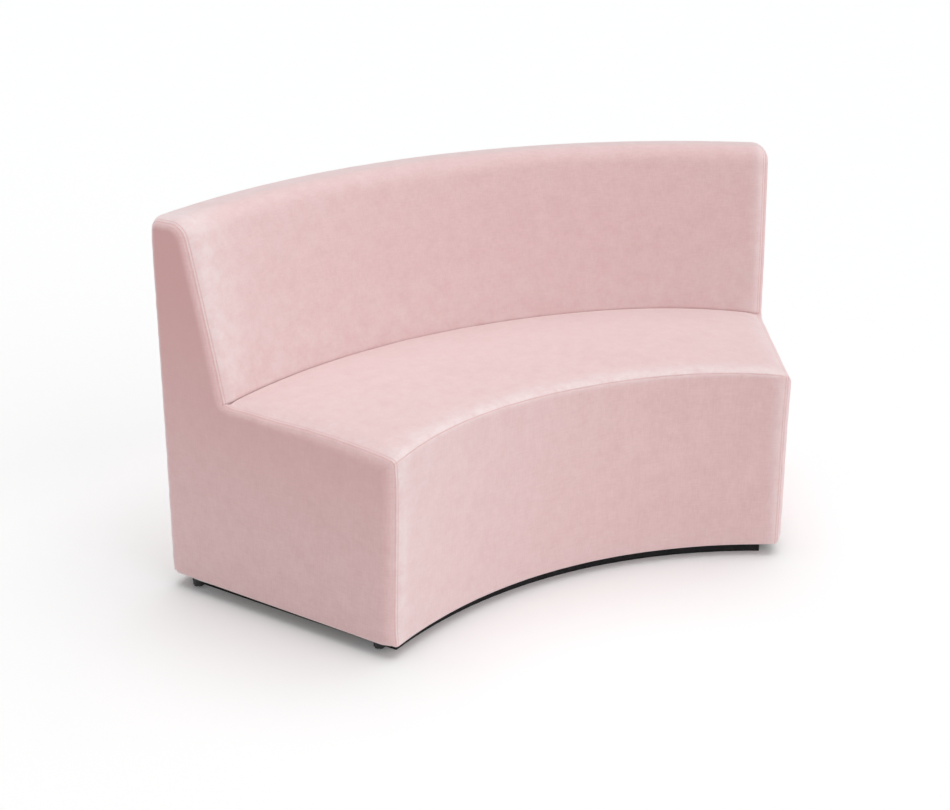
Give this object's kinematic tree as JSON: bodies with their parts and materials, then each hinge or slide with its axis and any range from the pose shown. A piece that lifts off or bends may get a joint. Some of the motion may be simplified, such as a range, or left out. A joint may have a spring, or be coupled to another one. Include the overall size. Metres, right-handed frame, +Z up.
{
  "type": "modular sofa",
  "caption": "Curved upholstered modular sofa unit with a raked back over a padded bench seat, on a recessed dark plinth, for joining end to end.",
  "frame": {"origin": "on the floor, under the middle of the unit's box", "axes": "+Z up, +Y towards the outer back, -Y towards a sitter's feet, +X along the unit to the right as seen from the front"},
  "size_m": [1.4872, 0.6884, 0.806],
  "materials": {
    "velvet": "short pale pink velvet",
    "foam": "cut upholstery foam",
    "lining": "black non-woven lining",
    "webbing": "woven elastic",
    "plywood": "sanded birch plywood",
    "black_board": "satin black",
    "foot_plastic": "moulded",
    "knob_plastic": "moulded",
    "steel": "zinc plated"
  },
  "bodies": {
    "body": {"back_foam": "foam", "back_panel": "plywood", "back_top_rail": "plywood", "base_board": "plywood", "dust_cover": "lining", "end_cover_left": "velvet", "end_cover_right": "velvet", "end_frame_left": "plywood", "end_frame_right": "plywood", "end_padding_left": "foam", "end_padding_right": "foam", "front_cover": "velvet", "front_padding": "foam", "front_panel": "plywood", "inner_back_panel": "plywood", "inside_back_cover": "velvet", "levelling_inserts": "steel", "link_inserts": "steel", "link_screws_left": "knob_plastic", "link_screws_right": "knob_plastic", "outer_back_padding": "foam", "outside_back_cover": "velvet", "plinth_bearer_left": "black_board", "plinth_bearer_right": "black_board", "plinth_corner_blocks": "black_board", "plinth_end_left": "black_board", "plinth_end_right": "black_board", "plinth_front": "black_board", "plinth_rear": "black_board", "rib_left": "plywood", "rib_middle": "plywood", "rib_right": "plywood", "seat_cover": "velvet", "seat_foam": "foam", "seat_front_rail": "plywood", "seat_rear_rail": "plywood", "seat_webbing": "webbing"},
    "link_plate_front": {"link_plate_front": "steel"},
    "link_plate_rear": {"link_plate_rear": "steel"},
    "levelling_foot_front_left": {"levelling_foot_front_left": "foot_plastic"},
    "levelling_foot_front_middle": {"levelling_foot_front_middle": "foot_plastic"},
    "levelling_foot_front_right": {"levelling_foot_front_right": "foot_plastic"},
    "levelling_foot_rear_left": {"levelling_foot_rear_left": "foot_plastic"},
    "levelling_foot_rear_middle": {"levelling_foot_rear_middle": "foot_plastic"},
    "levelling_foot_rear_right": {"levelling_foot_rear_right": "foot_plastic"}
  },
  "joints": [
    {"name": "link_front_swing", "type": "hinge", "parent": "body", "child": "link_plate_front", "pos_m": [-0.47345, -0.29211, 0.0246], "axis": [0, 0, 1], "range_deg": [0, 180]},
    {"name": "link_rear_swing", "type": "hinge", "parent": "body", "child": "link_plate_rear", "pos_m": [-0.70367, 0.10665, 0.0246], "axis": [0, 0, -1], "range_deg": [0, 180]},
    {"name": "level_front_left", "type": "slide", "parent": "body", "child": "levelling_foot_front_left", "axis": [0, 0, -1], "range_m": [0, 0.012]},
    {"name": "level_front_middle", "type": "slide", "parent": "body", "child": "levelling_foot_front_middle", "axis": [0, 0, -1], "range_m": [0, 0.012]},
    {"name": "level_front_right", "type": "slide", "parent": "body", "child": "levelling_foot_front_right", "axis": [0, 0, -1], "range_m": [0, 0.012]},
    {"name": "level_rear_left", "type": "slide", "parent": "body", "child": "levelling_foot_rear_left", "axis": [0, 0, -1], "range_m": [0, 0.012]},
    {"name": "level_rear_middle", "type": "slide", "parent": "body", "child": "levelling_foot_rear_middle", "axis": [0, 0, -1], "range_m": [0, 0.012]},
    {"name": "level_rear_right", "type": "slide", "parent": "body", "child": "levelling_foot_rear_right", "axis": [0, 0, -1], "range_m": [0, 0.012]}
  ]
}
